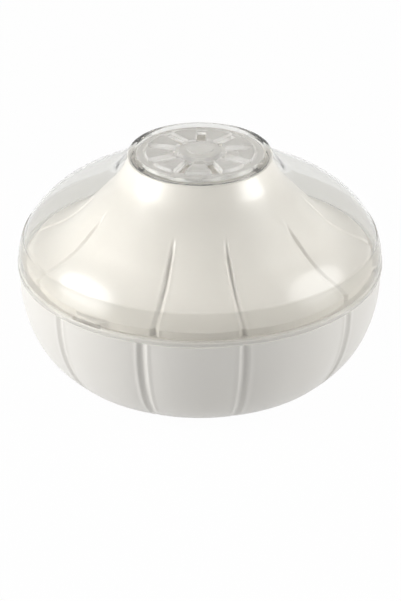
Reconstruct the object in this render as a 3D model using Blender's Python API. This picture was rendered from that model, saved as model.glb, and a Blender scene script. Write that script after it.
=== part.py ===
"""Garlic keeper: a lobed bowl with a drain grid, a lobed inner cover and a clear vented lid.

The keeper stands on the foot ring of its bowl, with the origin under its middle and +Z up. The
white inner cover locates inside the bowl's rim. The clear lid is held on that cover by three
bayonet lugs, and a clear dial in its crown turns to open or shut nine vent slots. Azimuths are
counted from the front (-Y) towards the right (+X).
"""

import math

import bmesh
import bpy
from mathutils import Matrix

MM = 0.001

# Gaps and overruns
SEAT_GAP = 0.3 * MM             # between faces that rest on each other
OVERRUN = 1.0 * MM              # how far a cutter runs past what it cuts

# Bowl
BOWL_RADIUS = 109.5 * MM
BOWL_HEIGHT = 68.0 * MM         # foot to rim
BOWL_WALL = 2.4 * MM
BOWL_FLOOR = 2.6 * MM
BOWL_CURVE_TOP_SHARE = 0.94     # of the height, where the side starts to turn in
BOWL_SIDE_PULL_SHARE = 0.42     # of the curve's height, how long the side stays steep
BOWL_BASE_PULL_SHARE = 0.735    # of the curve's width, how long the base stays flat
FOOT_RADIUS = 60.0 * MM
FOOT_WIDTH = 8.0 * MM
FOOT_RECESS = 1.0 * MM
RIM_WIDTH = 4.0 * MM
RIM_TAPER = 9.0 * MM            # height over which the wall thickens to the rim
RIM_EDGE = 0.5 * MM
BOWL_STEPS = 10

# Cloves: lobes parted by grooves, as on a bulb of garlic
BOWL_GROOVES_DEG = (-48.0, -17.5, 13.4, 51.7, 93.0, 134.0, 177.0, 222.0, 268.0)
COVER_GROOVES_DEG = (-67.0, -14.4, 13.9, 54.9, 95.0, 136.0, 178.0, 219.0, 256.0)
GROOVE_WIDTH = 6.0 * MM
GROOVE_DEPTH = 1.5 * MM
CLOVE_CROWN = 1.5 * MM          # how much lower a clove is beside its groove than in its middle
CLOVE_CROWN_POWER = 2.6
CLOVE_COLUMNS = 5               # columns of faces across the open part of a clove
BOWL_GROOVE_FADE_SHARE = 0.30   # of the bowl's height, over which the grooves fade in

# Inner cover, with heights above the bowl's rim
COVER_WALL = 2.0 * MM
COVER_SKIRT = 7.6 * MM
COVER_SHOULDER_REACH = 2.7 * MM
COVER_SHOULDER_RISE = 1.0 * MM
COVER_HEIGHT = 62.8 * MM        # to the plate across the neck
NECK_WALL = 1.6 * MM
NECK_CLEARANCE = 0.4 * MM       # round the neck, in the hollow of the lid's collar
NECK_UNDER_DIAL = 0.6 * MM      # from the neck's top up to the dial
FLANK_WAIST_SHARES = (0.482, 0.327)      # of the flank's width and height, where its two curves meet
FLANK_WAIST_PULL_SHARES = (0.098, 0.11)  # of width and height, from the waist to the upper curve's handle
FLANK_WAIST_RATIO_SHARE = 1.83           # the lower curve's handle there, as a share of the upper one's
FLANK_LOW_PULL_SHARES = (0.118, 0.057)   # of width and height, the handle at the shoulder
FLANK_NECK_PULL_SHARES = (0.09, 0.268)   # of width and height, the handle at the neck
COVER_STEPS = 5                 # in each of the flank's two curves
COVER_GROOVE_END_SHARE = 0.70   # of the cover's height, where its grooves have faded out
COVER_GROOVE_FADE_SHARE = 0.22
FLANGE_THICKNESS = 1.6 * MM
TONGUE_DEPTH = 7.0 * MM
TONGUE_WALL = 1.9 * MM
TONGUE_CLEARANCE = 0.4 * MM
BAFFLE_INSET = 8.0 * MM         # from the neck in to the ring of vent slots in the cover's top
BAFFLE_WIDTH = 2.6 * MM
BAFFLE_ARC_DEG = 18.0

# Clear lid, with heights above the bowl's rim
LID_PROUD = 0.2 * MM            # how much wider the lid is than the bowl's rim
LID_WALL = 2.1 * MM
LID_TO_COVER = 3.6 * MM         # between the lid's skirt and the cover's
DOME_RISE = 1.4 * MM            # above the cover's top, where the dome's curve would close over
LID_DOME_POWERS = (2.49, 1.66)  # roundness of the curve in height and in radius
LID_BAND_HEIGHT = 19.0 * MM
LID_BAND_STEP = 0.5 * MM        # how far the band stands proud of the dome
LID_BEAD_HEIGHT = 3.0 * MM
LID_BEAD_PROUD = 0.3 * MM
LID_COLUMNS = 54
LID_BAND_STEPS = 3
LID_DOME_STEPS = 9
COLLAR_FLARE = 11.1 * MM        # how much wider the collar is at its foot than at its crest
CREST_WIDTH = 2.8 * MM
CREST_RISE = 4.3 * MM           # above the deck
CREST_ROUND = 0.9 * MM
COLLAR_WALL = 1.6 * MM
RECESS_WALL = 1.4 * MM          # between the dial and the hollow of the collar
DECK_RISE = 5.4 * MM            # above the cover's top, to the top of the plate under the dial
DECK_THICKNESS = 1.8 * MM

# Bayonet lugs between cover and lid
LUG_COUNT = 3
LUG_MIDDLE_DEG = -36.6
LUG_ARC_DEG = 10.4
LUG_CLEARANCE = 0.4 * MM        # radial, to the wall that the lug slides along
LID_LUG_HEIGHT = 1.6 * MM
COVER_LUG_HEIGHT = 2.8 * MM
STOP_WIDTH = 1.8 * MM
LUG_STEPS = 4

# Vent dial
DIAL_RADIUS = 37.8 * MM
DIAL_THICKNESS = 1.8 * MM
DIAL_CLEARANCE = 0.8 * MM       # to the wall round it
DIAL_RIM_WIDTH = 4.6 * MM
DIAL_RIM_RISE = 0.5 * MM
DIAL_COLUMNS = 54
HUB_RADIUS = 13.0 * MM
HUB_RISE = 2.3 * MM
HUB_DRAFT = 0.5 * MM            # how much wider the hub is at its foot
PANEL_RISE = 2.0 * MM           # of the raised sectors between the slots
PANEL_MARGIN = 0.5 * MM         # between a raised sector and what is round it
PANEL_STEPS = 6
VENT_COUNT = 9
VENT_FIRST_DEG = 18.0
VENT_LAND = 2.2 * MM            # left whole between a slot's ends and the hub and the rim
VENT_WIDTH = 5.2 * MM
TAB_START_DEG = -27.0
TAB_ARC_DEG = 28.0
TAB_PROUD = 1.2 * MM
DIAL_TURN_DEG = 20.0
TAB_STEPS = 6

# Snap pivot and its clip
PIVOT_RADIUS = 3.4 * MM
PIVOT_CLEARANCE = 0.3 * MM
PIVOT_HEAD_RADIUS = 8.3 * MM
PIVOT_HEAD_THICKNESS = 0.8 * MM
PIVOT_HEAD_EDGE = 0.3 * MM
PIVOT_BARB_PROUD = 0.8 * MM
PIVOT_BARB_HEIGHT = 0.9 * MM
CLIP_RADIUS = 7.0 * MM
CLIP_THICKNESS = 1.2 * MM
PIVOT_COLUMNS = 24

# Drain grid, with heights above the bowl's floor
GRID_HEIGHT = 5.5 * MM
GRID_THICKNESS = 2.2 * MM
GRID_CLEARANCE = 1.2 * MM
GRID_RIM_WIDTH = 5.0 * MM
GRID_RING_WIDTH = 4.0 * MM
GRID_SPOKE_WIDTH = 4.0 * MM
GRID_SPOKES = 12
GRID_HOLE_RADIUS = 11.0 * MM
GRID_RINGS = 4
GRID_COLUMNS = 48
GRID_FEET = 6
GRID_FOOT_RADIUS = 3.0 * MM
GRID_FOOT_SIDES = 12
GRID_SLOT_STEPS = 3

# Sizes that follow from those above: radii first, then heights above the bowl's rim
LID_RADIUS = BOWL_RADIUS + LID_PROUD
COVER_RADIUS = LID_RADIUS - LID_WALL - LID_TO_COVER
CREST_RADIUS = DIAL_RADIUS + DIAL_CLEARANCE + CREST_WIDTH
COLLAR_FOOT_RADIUS = CREST_RADIUS + COLLAR_FLARE
RECESS_RADIUS = DIAL_RADIUS + DIAL_CLEARANCE
COVER_NECK_RADIUS = RECESS_RADIUS + RECESS_WALL + NECK_CLEARANCE + NECK_WALL
BAFFLE_RADIUS = COVER_NECK_RADIUS - BAFFLE_INSET
VENT_INNER_RADIUS = HUB_RADIUS + VENT_LAND
VENT_OUTER_RADIUS = DIAL_RADIUS - DIAL_RIM_WIDTH - VENT_LAND
LID_DOME_HEIGHT = COVER_HEIGHT + DOME_RISE
DECK_HEIGHT = COVER_HEIGHT + DECK_RISE
CREST_HEIGHT = DECK_HEIGHT + CREST_RISE

# Plastics: colour, roughness and the sharpest turn that is shaded smooth
CLEAR = (0.96, 0.965, 0.97)
PEARL = (0.80, 0.775, 0.72)
CLEAR_ROUGHNESS = 0.06
PEARL_ROUGHNESS = 0.30
MATT_ROUGHNESS = 0.45
SMOOTH_ANGLE_DEG = 35.0


def bezier(start, first, second, end, steps):
    """Points of a cubic Bezier curve, both ends included."""
    points = []
    for index in range(steps + 1):
        t = index / steps
        s = 1 - t
        weights = (s ** 3, 3 * s * s * t, 3 * s * t * t, t ** 3)
        points.append(tuple(
            sum(w * p[axis] for w, p in zip(weights, (start, first, second, end)))
            for axis in range(2)))
    return points


def offset(points, distance):
    """A profile moved sideways by a distance, to the left of the way it runs."""
    moved = []
    for index, (radius, height) in enumerate(points):
        before = points[max(index - 1, 0)]
        after = points[min(index + 1, len(points) - 1)]
        across = after[0] - before[0]
        up = after[1] - before[1]
        length = math.hypot(across, up)
        moved.append((radius - distance * up / length, height + distance * across / length))
    return moved


def height_to_radius(points, height):
    """Radius of a rising profile at one height, between its own points."""
    for (low_radius, low), (high_radius, high) in zip(points, points[1:]):
        if low <= height <= high:
            return low_radius + (high_radius - low_radius) * (height - low) / (high - low)
    return points[-1][0]


def smooth_step(value):
    """Zero below 0, one above 1 and an even S between."""
    value = min(max(value, 0.0), 1.0)
    return value * value * (3 - 2 * value)


def weighted(points, weight):
    """Profile points with the share of the cloves' relief that each height carries."""
    return [(radius, height, weight(height)) for radius, height in points]


def even_azimuths(count):
    """Azimuths of a plain round piece, in radians."""
    return [2 * math.pi * index / count for index in range(count)]


def clove_azimuths(grooves_deg, radius):
    """Azimuths of a lobed piece: each groove's bottom and edges, and columns between them."""
    azimuths = []
    half = GROOVE_WIDTH / 2 / radius
    grooves = [math.radians(degrees) for degrees in grooves_deg]
    for start, end in zip(grooves, grooves[1:] + [grooves[0] + 2 * math.pi]):
        azimuths.append(start)
        for column in range(CLOVE_COLUMNS + 1):
            azimuths.append(start + half + (end - start - 2 * half) * column / CLOVE_COLUMNS)
    return azimuths


def clove_relief(azimuth, grooves_deg, radius):
    """How far the surface lies inside the round at an azimuth: the clove's crown and its groove."""
    grooves = [math.radians(degrees) for degrees in grooves_deg]
    for start, end in zip(grooves, grooves[1:] + [grooves[0] + 2 * math.pi]):
        if start <= azimuth < end:
            along = (azimuth - start) / (end - start)
            nearest = min(azimuth - start, end - azimuth) * radius
            crown = CLOVE_CROWN * abs(2 * along - 1) ** CLOVE_CROWN_POWER
            groove = GROOVE_DEPTH * max(0.0, 1 - nearest / (GROOVE_WIDTH / 2))
            return crown + groove
    return 0.0


def material(name, colour, roughness, transmission=0.0):
    """A moulded plastic: its colour, how matt it is and how much light passes through."""
    made = bpy.data.materials.new(name)
    made.use_nodes = True
    shader = made.node_tree.nodes["Principled BSDF"]
    shader.inputs["Base Color"].default_value = (*colour, 1.0)
    shader.inputs["Roughness"].default_value = roughness
    shader.inputs["Metallic"].default_value = 0.0
    shader.inputs["Transmission Weight"].default_value = transmission
    return made


def finish(name, work, place, parent, finish_material):
    """Turn a bmesh into a named object at a height on the keeper's axis."""
    bmesh.ops.recalc_face_normals(work, faces=work.faces)
    mesh = bpy.data.meshes.new(name)
    work.to_mesh(mesh)
    work.free()
    made = bpy.data.objects.new(name, mesh)
    bpy.context.collection.objects.link(made)
    made.parent = parent
    made.location = (0.0, 0.0, place)
    if finish_material:
        mesh.materials.append(finish_material)
        mesh.shade_smooth()
        mesh.set_sharp_from_angle(angle=math.radians(SMOOTH_ANGLE_DEG))
    return made


def add_turned(work, profile, azimuths, relief=None):
    """Turn a profile of (radius, height, relief weight) round the axis into one closed body."""
    rings = []
    for radius, height, weight in profile:
        if radius == 0.0:
            rings.append([work.verts.new((0.0, 0.0, height))])
            continue
        ring = []
        for azimuth in azimuths:
            reach = radius - weight * relief(azimuth) if relief else radius
            ring.append(work.verts.new((reach * math.sin(azimuth), -reach * math.cos(azimuth), height)))
        rings.append(ring)
    open_ended = len(rings[0]) == 1
    pairs = list(zip(rings, rings[1:]))
    if not open_ended:
        pairs.append((rings[-1], rings[0]))
    count = len(azimuths)
    for lower, upper in pairs:
        for index in range(count):
            after = (index + 1) % count
            if len(lower) == 1:
                work.faces.new((lower[0], upper[after], upper[index]))
            elif len(upper) == 1:
                work.faces.new((lower[index], lower[after], upper[0]))
            else:
                work.faces.new((lower[index], lower[after], upper[after], upper[index]))


def add_arc_block(work, inner, outer, low, high, start, end, steps):
    """A block between two radii, two heights and two azimuths."""
    rings = []
    for index in range(steps + 1):
        azimuth = start + (end - start) * index / steps
        across = (math.sin(azimuth), -math.cos(azimuth))
        rings.append([work.verts.new((radius * across[0], radius * across[1], height))
                      for radius, height in ((inner, low), (outer, low), (outer, high), (inner, high))])
    for before, after in zip(rings, rings[1:]):
        for index in range(4):
            other = (index + 1) % 4
            work.faces.new((before[index], before[other], after[other], after[index]))
    work.faces.new(rings[0])
    work.faces.new(reversed(rings[-1]))


def add_vents(work, low, high):
    """The nine radial slots of the dial, as blocks between two heights."""
    length = VENT_OUTER_RADIUS - VENT_INNER_RADIUS
    middle = (VENT_OUTER_RADIUS + VENT_INNER_RADIUS) / 2
    for index in range(VENT_COUNT):
        azimuth = math.radians(VENT_FIRST_DEG) + 2 * math.pi * index / VENT_COUNT
        place = (Matrix.Rotation(azimuth, 4, "Z")
                 @ Matrix.Translation((0.0, -middle, (low + high) / 2))
                 @ Matrix.Diagonal((VENT_WIDTH, length, high - low, 1.0)))
        bmesh.ops.create_cube(work, size=1.0, matrix=place)


def add_panel(work, middle, inner, outer, low, high):
    """A sector between two slots, its sides parallel to theirs, as a block between two heights."""
    outline = []
    for radius, way in ((inner, 1), (outer, -1)):
        half = math.pi / VENT_COUNT - math.asin((VENT_WIDTH / 2 + PANEL_MARGIN) / radius)
        for index in range(PANEL_STEPS + 1):
            azimuth = middle + way * half * (2 * index / PANEL_STEPS - 1)
            outline.append((radius * math.sin(azimuth), -radius * math.cos(azimuth)))
    lower = [work.verts.new((*point, low)) for point in outline]
    upper = [work.verts.new((*point, high)) for point in outline]
    work.faces.new(lower)
    work.faces.new(reversed(upper))
    for index in range(len(outline)):
        after = (index + 1) % len(outline)
        work.faces.new((lower[index], lower[after], upper[after], upper[index]))


def shape_with(target, name, work, operation):
    """Cut a body away from a piece, or join one to it, by a Boolean with its own tool object."""
    tool = finish(name, work, 0.0, target, None)
    tool.hide_render = True
    tool.display_type = "WIRE"
    step = target.modifiers.new(name, "BOOLEAN")
    step.operation = operation
    step.solver = "EXACT"
    step.object = tool


def bowl_side():
    """The bowl's outer curve from its foot to where the side stands straight."""
    straight = BOWL_HEIGHT * BOWL_CURVE_TOP_SHARE
    width = BOWL_RADIUS - FOOT_RADIUS
    return bezier(
        (FOOT_RADIUS, 0.0),
        (FOOT_RADIUS + width * BOWL_BASE_PULL_SHARE, 0.0),
        (BOWL_RADIUS, straight * (1 - BOWL_SIDE_PULL_SHARE)),
        (BOWL_RADIUS, straight),
        BOWL_STEPS)


def bowl_inside():
    """The bowl's inner curve, a wall's thickness inside the outer one and above the floor."""
    floor = FOOT_RECESS + BOWL_FLOOR
    return [point for point in offset(bowl_side(), BOWL_WALL) if point[1] > floor]


def bowl_weight(height):
    """Relief of the bowl's cloves: none at the foot, all of it higher up."""
    return smooth_step(height / (BOWL_HEIGHT * BOWL_GROOVE_FADE_SHARE))


def make_bowl(plastic):
    """The bowl: foot ring, lobed side, thick rim, smooth floor."""
    floor = FOOT_RECESS + BOWL_FLOOR
    rim_inner = BOWL_RADIUS - RIM_WIDTH
    inside = bowl_inside()
    foot = [(0.0, FOOT_RECESS, 0.0),
            (FOOT_RADIUS - FOOT_WIDTH, FOOT_RECESS, 0.0),
            (FOOT_RADIUS - FOOT_WIDTH, 0.0, 0.0)]
    rim = [(BOWL_RADIUS, BOWL_HEIGHT - RIM_EDGE, 1.0),
           (BOWL_RADIUS - RIM_EDGE, BOWL_HEIGHT, 1.0),
           (rim_inner, BOWL_HEIGHT, 0.0),
           (rim_inner, BOWL_HEIGHT - RIM_TAPER, 0.0)]
    inner = [point for point in reversed(inside) if point[1] < BOWL_HEIGHT - 2 * RIM_TAPER]
    profile = (foot + weighted(bowl_side(), bowl_weight) + rim
               + weighted(inner, bowl_weight)
               + [(inner[-1][0] - BOWL_FLOOR, floor, 0.0), (0.0, floor, 0.0)])
    work = bmesh.new()
    add_turned(work, profile, clove_azimuths(BOWL_GROOVES_DEG, BOWL_RADIUS),
               lambda azimuth: clove_relief(azimuth, BOWL_GROOVES_DEG, BOWL_RADIUS))
    return finish("bowl", work, 0.0, None, plastic)


def make_grid(bowl, plastic):
    """The drain grid: a round plate with arc slots and a finger hole, on short feet."""
    floor = FOOT_RECESS + BOWL_FLOOR
    deepest = CLOVE_CROWN + GROOVE_DEPTH
    low = floor + GRID_HEIGHT
    wall = height_to_radius(bowl_inside(), low) - deepest * bowl_weight(low)
    radius = wall - GRID_CLEARANCE
    plate = [(GRID_HOLE_RADIUS, 0.0, 0.0), (radius, 0.0, 0.0),
             (radius, GRID_THICKNESS, 0.0), (GRID_HOLE_RADIUS, GRID_THICKNESS, 0.0)]
    work = bmesh.new()
    add_turned(work, plate, even_azimuths(GRID_COLUMNS))
    grid = finish("drain_grid", work, low, bowl, plastic)

    slots = bmesh.new()
    first = GRID_HOLE_RADIUS + GRID_RIM_WIDTH
    pitch = (radius - GRID_RIM_WIDTH - first + GRID_RING_WIDTH) / GRID_RINGS
    for ring in range(GRID_RINGS):
        inner = first + ring * pitch
        outer = inner + pitch - GRID_RING_WIDTH
        for spoke in range(GRID_SPOKES):
            half = GRID_SPOKE_WIDTH / 2 / inner
            start = 2 * math.pi * spoke / GRID_SPOKES + half
            end = 2 * math.pi * (spoke + 1) / GRID_SPOKES - half
            add_arc_block(slots, inner, outer, -OVERRUN, GRID_THICKNESS + OVERRUN,
                          start, end, GRID_SLOT_STEPS)
    shape_with(grid, "grid_slots_tool", slots, "DIFFERENCE")

    feet = bmesh.new()
    length = GRID_HEIGHT - SEAT_GAP
    circle = FOOT_RADIUS - FOOT_WIDTH / 2
    for foot in range(GRID_FEET):
        azimuth = 2 * math.pi * foot / GRID_FEET
        place = Matrix.Translation((circle * math.sin(azimuth), -circle * math.cos(azimuth),
                                    (GRID_THICKNESS / 2 - length) / 2))
        bmesh.ops.create_cone(feet, cap_ends=True, segments=GRID_FOOT_SIDES,
                              radius1=GRID_FOOT_RADIUS, radius2=GRID_FOOT_RADIUS,
                              depth=length + GRID_THICKNESS / 2, matrix=place)
    shape_with(grid, "grid_feet_tool", feet, "UNION")
    return grid


def collar_lean():
    """How much the lid's collar widens for each unit down from its crest."""
    return COLLAR_FLARE / (CREST_HEIGHT - dome_height(COLLAR_FOOT_RADIUS))


def neck_height():
    """Height above the rim of the neck's top, which stays under the dial that turns over it."""
    return DECK_HEIGHT + SEAT_GAP - NECK_UNDER_DIAL


def cover_flank():
    """The cover's flank from its shoulder over its waist to the top of its neck, above the rim."""
    start = (COVER_RADIUS - COVER_SHOULDER_REACH, COVER_SKIRT + COVER_SHOULDER_RISE)
    end = (COVER_NECK_RADIUS, neck_height())
    width = start[0] - end[0]
    rise = end[1] - start[1]

    def moved(point, shares, scale=1.0):
        """A point moved inwards and up by shares of the flank's width and height."""
        return (point[0] - width * shares[0] * scale, point[1] + rise * shares[1] * scale)

    waist = moved(start, FLANK_WAIST_SHARES)
    lower = bezier(start, moved(start, FLANK_LOW_PULL_SHARES),
                   moved(waist, FLANK_WAIST_PULL_SHARES, -FLANK_WAIST_RATIO_SHARE), waist, COVER_STEPS)
    upper = bezier(waist, moved(waist, FLANK_WAIST_PULL_SHARES),
                   moved(end, FLANK_NECK_PULL_SHARES, -1.0), end, COVER_STEPS)
    return lower + upper[1:]


def cover_weight(height):
    """Relief of the cover's cloves: all of it low down, none near the neck."""
    end = COVER_HEIGHT * COVER_GROOVE_END_SHARE
    return smooth_step((end - height) / (COVER_HEIGHT * COVER_GROOVE_FADE_SHARE))


def lug_heights():
    """Heights above the rim of the lid's lugs and of the cover's lugs over them."""
    lid_low = SEAT_GAP + FLANGE_THICKNESS + SEAT_GAP
    lid_high = lid_low + LID_LUG_HEIGHT
    cover_low = lid_high + SEAT_GAP
    return lid_low, lid_high, cover_low, cover_low + COVER_LUG_HEIGHT


def lug_azimuths():
    """Start and end azimuth of each lug, in radians."""
    half = math.radians(LUG_ARC_DEG) / 2
    middles = [math.radians(LUG_MIDDLE_DEG) + 2 * math.pi * index / LUG_COUNT
               for index in range(LUG_COUNT)]
    return [(middle - half, middle + half) for middle in middles]


def make_cover(bowl, plastic):
    """The inner cover: lobed bell with a baffled top, a flange and a tongue for the bowl."""
    tongue_outer = BOWL_RADIUS - RIM_WIDTH - TONGUE_CLEARANCE
    tongue_inner = tongue_outer - TONGUE_WALL
    flange_radius = LID_RADIUS - LID_WALL - LUG_CLEARANCE
    flange_low = SEAT_GAP
    flange_high = SEAT_GAP + FLANGE_THICKNESS
    skirt_inner = COVER_RADIUS - COVER_WALL
    flank = cover_flank()
    inner_flank = list(reversed(offset(flank, COVER_WALL)))
    ceiling = COVER_HEIGHT - COVER_WALL
    inner_flank = [point for point in inner_flank if point[1] < ceiling - COVER_WALL / 2]
    skirt = [(COVER_RADIUS, COVER_SKIRT, 1.0), (COVER_RADIUS, flange_high, 1.0)]
    hem = [(flange_radius, flange_high, 0.0), (flange_radius, flange_low, 0.0),
           (tongue_outer, flange_low, 0.0), (tongue_outer, -TONGUE_DEPTH, 0.0),
           (tongue_inner, -TONGUE_DEPTH, 0.0), (tongue_inner, flange_low, 0.0),
           (skirt_inner, flange_high, 1.0), (skirt_inner, COVER_SKIRT - COVER_WALL, 1.0)]
    neck_inner = COVER_NECK_RADIUS - NECK_WALL
    profile = ([(0.0, COVER_HEIGHT, 0.0), (neck_inner, COVER_HEIGHT, 0.0),
                (neck_inner, neck_height(), 0.0)]
               + weighted(reversed(flank), cover_weight) + skirt + hem
               + weighted(reversed(inner_flank), cover_weight)
               + [(inner_flank[0][0] - COVER_WALL, ceiling, 0.0), (0.0, ceiling, 0.0)])
    work = bmesh.new()
    add_turned(work, profile, clove_azimuths(COVER_GROOVES_DEG, COVER_RADIUS),
               lambda azimuth: clove_relief(azimuth, COVER_GROOVES_DEG, COVER_RADIUS))
    cover = finish("inner_cover", work, BOWL_HEIGHT, bowl, plastic)

    baffles = bmesh.new()
    half = math.radians(BAFFLE_ARC_DEG) / 2
    for index in range(VENT_COUNT):
        middle = math.radians(VENT_FIRST_DEG) + 2 * math.pi * (index + 0.5) / VENT_COUNT
        add_arc_block(baffles, BAFFLE_RADIUS - BAFFLE_WIDTH / 2, BAFFLE_RADIUS + BAFFLE_WIDTH / 2,
                      ceiling - OVERRUN, COVER_HEIGHT + OVERRUN, middle - half, middle + half,
                      LUG_STEPS)
    shape_with(cover, "cover_baffles_tool", baffles, "DIFFERENCE")

    lugs = bmesh.new()
    root = COVER_RADIUS - COVER_WALL / 2
    _, _, low, high = lug_heights()
    stop_arc = STOP_WIDTH / COVER_RADIUS
    gap_arc = SEAT_GAP / COVER_RADIUS
    for start, end in lug_azimuths():
        add_arc_block(lugs, root, flange_radius, low, high, start - gap_arc, end, LUG_STEPS)
    shape_with(cover, "cover_lugs_tool", lugs, "UNION")

    stops = bmesh.new()
    for start, _ in lug_azimuths():
        add_arc_block(stops, root, flange_radius - SEAT_GAP, flange_high - FLANGE_THICKNESS / 2,
                      high - LID_LUG_HEIGHT / 2, start - gap_arc - stop_arc, start - gap_arc / 2, 1)
    shape_with(cover, "cover_stops_tool", stops, "UNION")
    return cover


def dome_radius(height):
    """Outer radius of the lid's dome: a superellipse in height and radius."""
    height_power, radius_power = LID_DOME_POWERS
    return LID_RADIUS * (1 - (height / LID_DOME_HEIGHT) ** height_power) ** (1 / radius_power)


def dome_height(radius):
    """Height at which the lid's dome has a given outer radius."""
    height_power, radius_power = LID_DOME_POWERS
    return LID_DOME_HEIGHT * (1 - (radius / LID_RADIUS) ** radius_power) ** (1 / height_power)


def dome_curve(low, high, steps):
    """Points of the dome between two heights, closer together where it turns inwards."""
    rise = high - low
    heights = [low + rise * math.sin(math.pi / 2 * index / steps) for index in range(steps + 1)]
    return [(dome_radius(height), height) for height in heights]


def make_lid(cover, plastic):
    """The clear lid: banded skirt, dome, collar, and a sunk deck that carries the dial."""
    skirt_inner = LID_RADIUS - LID_WALL
    bead_high = SEAT_GAP + LID_BEAD_HEIGHT
    band = dome_curve(bead_high + LID_BEAD_PROUD, LID_BAND_HEIGHT, LID_BAND_STEPS)
    collar_foot = dome_height(COLLAR_FOOT_RADIUS)
    dome = dome_curve(LID_BAND_HEIGHT, collar_foot, LID_DOME_STEPS)
    inner_dome = offset(dome, LID_WALL)
    recess = RECESS_RADIUS
    deck_low = DECK_HEIGHT - DECK_THICKNESS
    hole = PIVOT_RADIUS + PIVOT_CLEARANCE
    pocket_outer = CREST_RADIUS - COLLAR_WALL + collar_lean() * (CREST_HEIGHT - deck_low)
    pocket_inner = RECESS_RADIUS + RECESS_WALL
    pocket_top = neck_height() + NECK_CLEARANCE
    pocket_corner = CREST_RADIUS - COLLAR_WALL + collar_lean() * (CREST_HEIGHT - pocket_top)

    outside = ([(skirt_inner, SEAT_GAP), (LID_RADIUS, SEAT_GAP),
                (LID_RADIUS + LID_BEAD_PROUD, SEAT_GAP + LID_BEAD_PROUD),
                (LID_RADIUS + LID_BEAD_PROUD, bead_high)]
               + band
               + [(radius - LID_BAND_STEP, height + LID_BAND_STEP) for radius, height in dome[:1]]
               + [(radius - LID_BAND_STEP, height) for radius, height in dome[1:-1]]
               + [dome[-1]])
    crown = [(CREST_RADIUS + CREST_ROUND, CREST_HEIGHT - CREST_ROUND),
             (CREST_RADIUS, CREST_HEIGHT),
             (recess + CREST_ROUND, CREST_HEIGHT),
             (recess, CREST_HEIGHT - CREST_ROUND),
             (recess, DECK_HEIGHT), (hole, DECK_HEIGHT), (hole, deck_low),
             (pocket_inner, deck_low), (pocket_inner, pocket_top), (pocket_corner, pocket_top),
             (pocket_outer, deck_low)]
    inside = list(reversed(inner_dome))[1:-1] + [(skirt_inner, LID_BAND_HEIGHT / 2)]
    profile = [(radius, height, 0.0) for radius, height in outside + crown + inside]
    work = bmesh.new()
    add_turned(work, profile, even_azimuths(LID_COLUMNS))
    lid = finish("clear_lid", work, 0.0, cover, plastic)

    vents = bmesh.new()
    add_vents(vents, deck_low - OVERRUN, DECK_HEIGHT + OVERRUN)
    shape_with(lid, "deck_vents_tool", vents, "DIFFERENCE")

    notch = bmesh.new()
    slack = SEAT_GAP / DIAL_RADIUS
    start = math.radians(TAB_START_DEG) - slack
    end = math.radians(TAB_START_DEG + TAB_ARC_DEG + DIAL_TURN_DEG) + slack
    add_arc_block(notch, DIAL_RADIUS, recess + TAB_PROUD, DECK_HEIGHT + SEAT_GAP / 2,
                  CREST_HEIGHT + OVERRUN, start, end, 2 * TAB_STEPS)
    shape_with(lid, "tab_notch_tool", notch, "DIFFERENCE")

    lugs = bmesh.new()
    low, high, _, _ = lug_heights()
    for start, end in lug_azimuths():
        add_arc_block(lugs, COVER_RADIUS + LUG_CLEARANCE, skirt_inner + LID_WALL / 2, low, high,
                      start, end, LUG_STEPS)
    shape_with(lid, "lid_lugs_tool", lugs, "UNION")
    return lid


def make_dial(lid, plastic):
    """The vent dial: a slotted disc with a raised rim, hub and sectors, and a tab that limits its turn."""
    hole = PIVOT_RADIUS + PIVOT_CLEARANCE
    rim_inner = DIAL_RADIUS - DIAL_RIM_WIDTH
    rim_top = DIAL_THICKNESS + DIAL_RIM_RISE
    hub_top = DIAL_THICKNESS + HUB_RISE
    profile = [(hole, 0.0), (DIAL_RADIUS, 0.0), (DIAL_RADIUS, rim_top),
               (rim_inner + DIAL_RIM_RISE, rim_top), (rim_inner, DIAL_THICKNESS),
               (HUB_RADIUS + HUB_DRAFT, DIAL_THICKNESS), (HUB_RADIUS, hub_top), (hole, hub_top)]
    work = bmesh.new()
    add_turned(work, [(radius, height, 0.0) for radius, height in profile],
               even_azimuths(DIAL_COLUMNS))
    dial = finish("vent_dial", work, DECK_HEIGHT + SEAT_GAP, lid, plastic)

    vents = bmesh.new()
    add_vents(vents, -OVERRUN, hub_top + OVERRUN)
    shape_with(dial, "dial_vents_tool", vents, "DIFFERENCE")

    panels = bmesh.new()
    for index in range(VENT_COUNT):
        middle = math.radians(VENT_FIRST_DEG) + 2 * math.pi * (index + 0.5) / VENT_COUNT
        add_panel(panels, middle, HUB_RADIUS + HUB_DRAFT + VENT_LAND, rim_inner - PANEL_MARGIN,
                  DIAL_THICKNESS - DIAL_RIM_RISE, DIAL_THICKNESS + PANEL_RISE)
    shape_with(dial, "dial_panels_tool", panels, "UNION")

    tab = bmesh.new()
    start = math.radians(TAB_START_DEG)
    add_arc_block(tab, rim_inner + DIAL_RIM_WIDTH / 2, DIAL_RADIUS + TAB_PROUD,
                  SEAT_GAP, rim_top - SEAT_GAP / 2, start, start + math.radians(TAB_ARC_DEG), TAB_STEPS)
    shape_with(dial, "dial_tab_tool", tab, "UNION")
    return dial


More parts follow.
